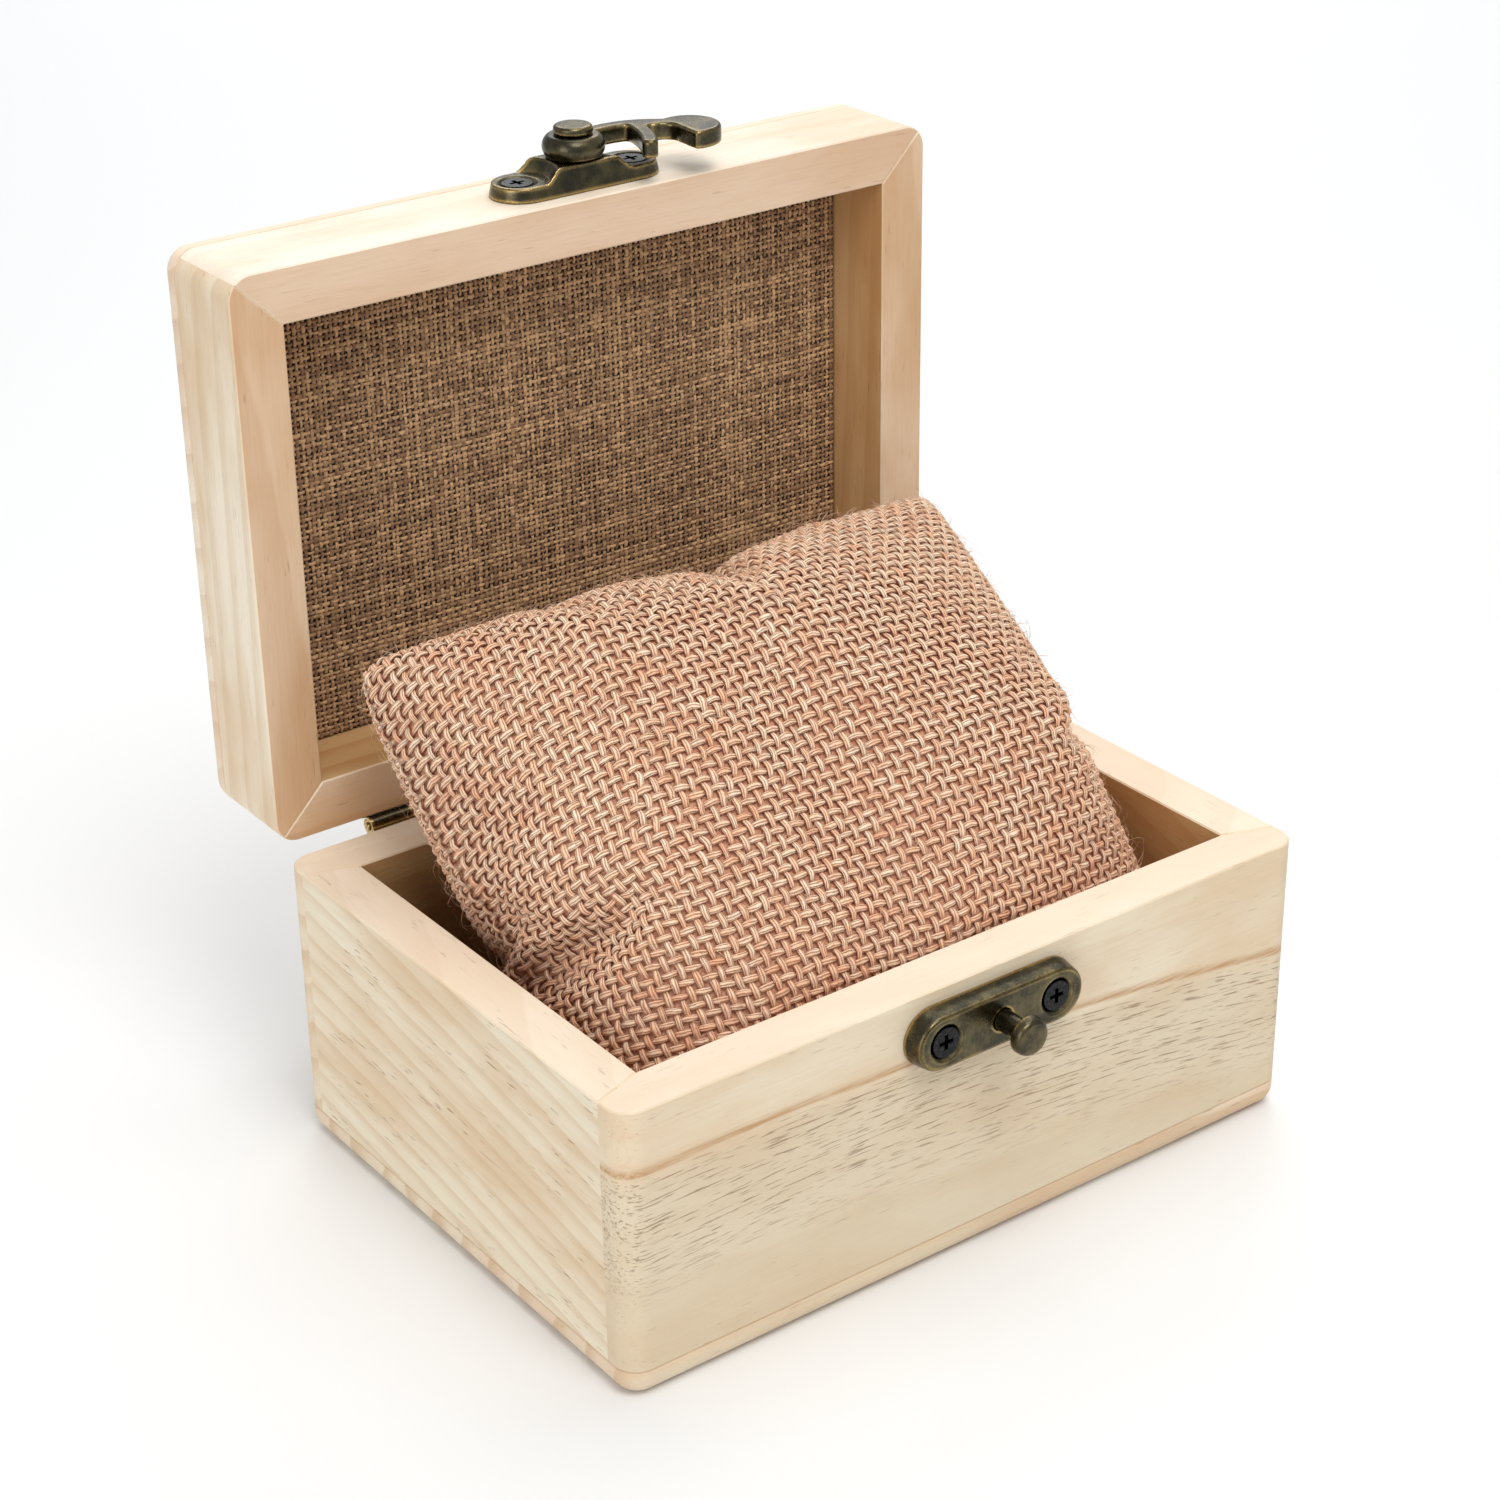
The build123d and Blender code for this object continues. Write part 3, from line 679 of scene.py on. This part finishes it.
def weave_family(name, grid, yarns, crossings, opposite, material):
    """Closed yarns that run round the ring direction of a grid, over and under the other family.

    Crossings are those on each side of the pillow. Opposite is 0 for one family and 1 for the other, so
    that one goes over where the other goes under. The yarns come as several pieces, side by side, so that
    none has too many faces.
    """
    rows, ring = grid.shape[:2]
    per_crossing = 4
    count = 2 * crossings * per_crossing
    rows_at = (np.arange(yarns) + 0.5) / yarns * (rows - 1)
    columns_at = np.arange(count) / count * ring
    points, up = surface(grid, rows_at, columns_at)
    turn = (np.arange(count) / per_crossing - 0.5) * math.pi
    parity = (np.arange(yarns) + opposite) % 2 * math.pi
    lift = np.cos(turn[None] + parity[:, None])
    wander = smooth_noise(yarns, count, (3, 7, 12, 19, 43, 71), YARN_WANDER * PILLOW_PITCH)
    across = unit(np.cross(np.gradient(points, axis=1), up))
    lines = points + up * (lift * YARN_LIFT * PILLOW_PITCH)[..., None] + across * wander[..., None]
    uneven = 1 + smooth_noise(yarns, count, (5, 11, 23, 41), 0.11)
    width = PILLOW_PITCH * YARN_HALF_WIDTH * uneven * (1 + 0.10 * lift)
    height = PILLOW_PITCH * YARN_HALF_HEIGHT * (1 + smooth_noise(yarns, count, (9, 17, 31), 0.08))
    pieces = []
    for part, some in enumerate(np.array_split(np.arange(yarns), YARN_PIECES)):
        shape = (lines[some], up[some], width[some], height[some], lift[some])
        pieces.append(yarn_tubes(f"{name}_{part + 1}", *shape, 6, True, material))
    return pieces


def keep_clear(lines):
    """Loose fibres held off the base's walls and, when the lid is shut, off its lining."""
    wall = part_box("base_back_board")[0].y - FUZZ_ROOM
    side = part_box("base_right_board")[0].x - FUZZ_ROOM
    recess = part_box("lid_liner_fabric")[0].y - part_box("lid_front_rail")[0].y
    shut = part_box("base_back_board")[1].z + recess - 2 * FUZZ_ROOM
    top = PILLOW_ANCHOR + (shut - PILLOW_ANCHOR) / PILLOW_KEEP
    lines[..., 0] = both_ways(lines[..., 0], side, MM)
    lines[..., 1] = both_ways(lines[..., 1], wall, MM)
    lines[..., 2] = soft_limit(lines[..., 2], top, MM)
    return lines


def fuzz(name, grid, count, material):
    """Loose fibres that rise off the weave and curl over it."""
    rows, ring = grid.shape[:2]
    joints, batch = 5, 200
    rows_at, columns_at = RANDOM.random(count) * (rows - 1), RANDOM.random(count) * ring
    points, up = np.zeros((count, 3)), np.zeros((count, 3))
    for start in range(0, count, batch):
        # surface() gives every row with every column, and a fibre needs only its own row and column
        part = slice(start, start + batch)
        everywhere = surface(grid, rows_at[part], columns_at[part])
        points[part], up[part] = (np.einsum("iid->id", values) for values in everywhere)
    heading = unit(RANDOM.normal(0, 1, (count, 3)))
    heading = unit(heading - up * (heading * up).sum(1, keepdims=True))
    curl = unit(np.cross(heading, up)) * RANDOM.normal(0, 0.5, (count, 1))
    length = RANDOM.uniform(1.5, 4.2, (count, 1, 1)) * MM
    t = np.linspace(0, 1, joints)[None, :, None]
    rise = RANDOM.uniform(0.12, 0.42, (count, 1, 1))
    lines = (
        points[:, None]
        + up[:, None] * (0.45 * MM + length * rise * np.sin(t * 2.4))
        + heading[:, None] * length * t
        + curl[:, None] * length * t**2
    )
    lines = keep_clear(lines)
    thin = np.broadcast_to(FUZZ_HALF_WIDTH * (1.1 - t[..., 0]), (count, joints))
    flat = np.broadcast_to(up[:, None], lines.shape)
    return yarn_tubes(name, lines, flat, thin, thin, np.ones((count, joints)), 3, False, material)


def pillow_ground(grid):
    """A skin just under the weave, with twice the grid's points each way."""
    rows, ring = grid.shape[:2]
    points, up = surface(grid, np.linspace(0, rows - 1, 2 * rows), np.arange(2 * ring) / 2)
    points = points - up * GROUND_DEPTH * PILLOW_PITCH
    index = np.arange(2 * rows * 2 * ring).reshape(2 * rows, 2 * ring)
    ahead = np.roll(index, -1, axis=1)
    faces = np.stack([index[:-1], ahead[:-1], ahead[1:], index[1:]], -1).reshape(-1, 4)
    return mesh_piece("pillow_ground", points.reshape(-1, 3), faces, jute_ground())


def make_pillow():
    """The cushion by simulation, then its cover in real yarns, loose fibres and the skin under them."""
    panels = simulated_panels(*PILLOW_GRID)
    top, bottom = shape_pillow(*panels)
    across, down = (int(size / PILLOW_PITCH / 2) * 2 for size in PILLOW_FABRIC)
    by_row = ring_of(top, bottom)
    by_column = ring_of(top.transpose(1, 0, 2), bottom.transpose(1, 0, 2))
    pieces = [
        *weave_family("pillow_weft_yarns", by_row, down, across, 0, jute("jute_weft", 6.0)),
        *weave_family("pillow_warp_yarns", by_column, across, down, 1, jute("jute_warp", 6.0)),
        fuzz("pillow_fuzz", by_row, FUZZ_FIBRES, jute("jute_fuzz", 1.0)),
    ]
    ground = pillow_ground(by_row)
    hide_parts("pillow_cover", "pillow_filling")
    for piece in [ground, *pieces]:
        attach(piece, "pillow")
        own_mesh(piece)


# ---------------------------------------------------------------- lid lining

def linen(name):
    """Slubby brown linen thread: light on top, with dark brown painted shade where it dives under,
    and uneven from thread to thread.
    """
    make = Shader(name, Roughness=0.88, Sheen_Weight=0.15, Sheen_Roughness=0.5)
    along, around, tone, lift = make.yarn()
    seed = make.times(tone, 91.0)
    slub = make.noise(make.vector(make.times(along, 0.45), seed, 0.0), 1.0, 3.0, 0.65)
    fibres = make.noise(make.vector(make.times(along, 1.6), make.times(around, 6.0), seed), 1.0, 2.0, 0.7)
    level = make.add(make.times(slub, 0.84), make.times(tone, 0.16))
    colour = make.mix(make.between(level, 0.36, 0.66), srgb(138, 102, 70), srgb(212, 172, 126))
    colour = make.mix(make.times(make.between(fibres, 0.5, 0.75), 0.45), colour, srgb(100, 72, 48))
    # Dark brown painted shade where the thread dives under the other threads
    colour = make.mix(make.between(lift, 0.1, -0.8), colour, srgb(80, 54, 34))
    return make.put(Base_Color=colour, Normal=make.bump(fibres, 0.10 * MM, strength=0.7))


def linen_shade_sheet():
    """A dark sheet behind the lining's threads: painted shade seen through their gaps."""
    make = Shader("linen_shade_sheet_finish", Roughness=0.95)
    place = make.place()
    fluff = make.noise(place, 1 / (0.4 * MM), 3.0, 0.7)
    colour = make.mix(make.between(fluff, 0.4, 0.7), srgb(72, 48, 30), srgb(100, 70, 46))
    return make.put(Base_Color=colour, Normal=make.bump(fluff, 0.1 * MM, strength=0.5))


def linen_threads(name, low, high, face, lengthways, material):
    """One family of threads in the plane y = face, between the corners low and high (x, z).

    Lengthways is 1 for the threads that run up the lid, and 0 for those that run across it.
    """
    run, step = (1, 0) if lengthways else (0, 1)
    threads = int((high[step] - low[step]) / LINEN_PITCH)
    crossings = int((high[run] - low[run]) / LINEN_PITCH)
    count = crossings * 2 + 1
    t = np.linspace(0, 1, count)
    places = low[step] + (np.arange(threads) + 0.5) / threads * (high[step] - low[step])
    wander = THREAD_WANDER * LINEN_PITCH
    sway = smooth_noise(threads, count, (1, 2, 5, 9, 17), wander) + RANDOM.normal(0, wander, (threads, 1))
    parity = (np.arange(threads) + lengthways) % 2
    lift = np.cos((t[None] * crossings - 0.5 + parity[:, None]) * math.pi)
    lines = np.zeros((threads, count, 3))
    axes = (0, 2)
    lines[..., axes[step]] = places[:, None] + sway
    lines[..., axes[run]] = low[run] + t[None] * (high[run] - low[run])
    lines[..., 1] = face - lift * THREAD_LIFT * LINEN_PITCH
    slub = np.exp(smooth_noise(threads, count, (4, 9, 21, 37), 0.20) + RANDOM.normal(0, 0.09, (threads, 1)))
    width = np.clip(THREAD_HALF_WIDTH * slub, 0.2, 0.47) * LINEN_PITCH
    height = np.clip(THREAD_HALF_HEIGHT * slub, 0.13, 0.24) * LINEN_PITCH
    up = np.broadcast_to(np.array([0.0, -1.0, 0.0]), lines.shape)
    return yarn_tubes(name, lines, up, width, height, lift, 5, False, material)


def make_lining():
    """The linen cloth over the lid's card: its threads on a thin dark sheet of painted shade."""
    near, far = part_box("lid_liner_fabric")
    low, high = (near.x, near.z), (far.x, far.z)
    face = near.y + LINEN_DEPTH * LINEN_PITCH
    warp = linen_threads("liner_warp_threads", low, high, face, 1, linen("linen_warp"))
    weft = linen_threads("liner_weft_threads", low, high, face, 0, linen("linen_weft"))
    columns, rows = LINEN_GRID
    x, z = np.meshgrid(np.linspace(low[0], high[0], columns), np.linspace(low[1], high[1], rows))
    ripple = 0.04 * MM * (np.sin(x / (7 * MM)) + np.sin(z / (9 * MM)))
    points = np.stack([x, face + LINEN_SHADE_SHEET_DEPTH * LINEN_PITCH + ripple, z], -1).reshape(-1, 3)
    index = np.arange(columns * rows).reshape(rows, columns)
    # Dark sheet behind the threads: painted shade in their gaps
    ground = mesh_piece("liner_shade_sheet", points, quads(index), linen_shade_sheet())
    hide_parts("lid_liner_fabric")
    for piece in (ground, warp, weft):
        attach(piece, "lid")


# ---------------------------------------------------------------- studio

def make_camera():
    """A camera that looks along its azimuth and elevation, with a roll, from beside its target."""
    azimuth, elevation, roll = (math.radians(a) for a in (CAMERA_AZIMUTH, CAMERA_ELEVATION, CAMERA_ROLL))
    back = Vector((
        math.sin(azimuth) * math.cos(elevation),
        -math.cos(azimuth) * math.cos(elevation),
        math.sin(elevation),
    ))
    level = Vector((0, 0, 1)).cross(back).normalized()
    steep = back.cross(level)
    right = math.cos(roll) * level + math.sin(roll) * steep
    up = math.cos(roll) * steep - math.sin(roll) * level
    data = bpy.data.cameras.new("camera")
    data.lens = CAMERA_LENS
    data.sensor_width = 36
    data.clip_start = 0.01
    camera = bpy.data.objects.new("camera", data)
    bpy.context.scene.collection.objects.link(camera)
    place = CAMERA_TARGET + right * CAMERA_OFFSET.x + up * CAMERA_OFFSET.y + back * CAMERA_OFFSET.z
    for column, axis in enumerate((right, up, back, place)):
        for row in range(3):
            camera.matrix_world[row][column] = axis[row]
    bpy.context.scene.camera = camera


def area_light(name, place, size, power, colour=(1, 1, 1), aim=(0, 0, 0.05)):
    """A round lamp at a place, turned to its aim."""
    data = bpy.data.lights.new(name, "AREA")
    data.shape = "DISK"
    data.size = size
    data.energy = power
    data.color = colour
    light = bpy.data.objects.new(name, data)
    bpy.context.scene.collection.objects.link(light)
    light.location = place
    light.rotation_euler = (Vector(aim) - Vector(place)).to_track_quat("-Z", "Y").to_euler()


def make_studio():
    """A wide pale floor, a cool even sky, and lamps over the box and over the floor behind it."""
    bpy.context.scene.view_settings.view_transform = "Standard"
    floor_finish = Shader("floor_finish", Base_Color=(0.86, 0.86, 0.86, 1), Roughness=0.7)
    half = 4.0
    points = np.array([(-half, -half, 0), (half, -half, 0), (half, half, 0), (-half, half, 0)])
    floor = mesh_piece("floor", points, np.array([[0, 1, 2, 3]]), floor_finish.material)
    world = bpy.context.scene.world or bpy.data.worlds.new("world")
    bpy.context.scene.world = world
    world.use_nodes = True
    sky = world.node_tree.nodes["Background"]
    sky.inputs["Color"].default_value = (0.96, 0.98, 1.0, 1)
    sky.inputs["Strength"].default_value = 0.52
    area_light("key", (-0.10, -0.40, 0.80), 0.45, 3.4, (1, 0.985, 0.96))
    area_light("top", (0.20, 0.10, 0.90), 0.6, 2.0)
    area_light("fill", (-0.80, -0.25, 0.30), 0.6, 1.5)
    area_light("backdrop", (0.65, 0.90, 0.75), 0.9, 5.0, aim=(0.60, 0.80, 0))


make_camera()
dress_wood()
dress_hardware()
make_pillow()
make_lining()
make_studio()
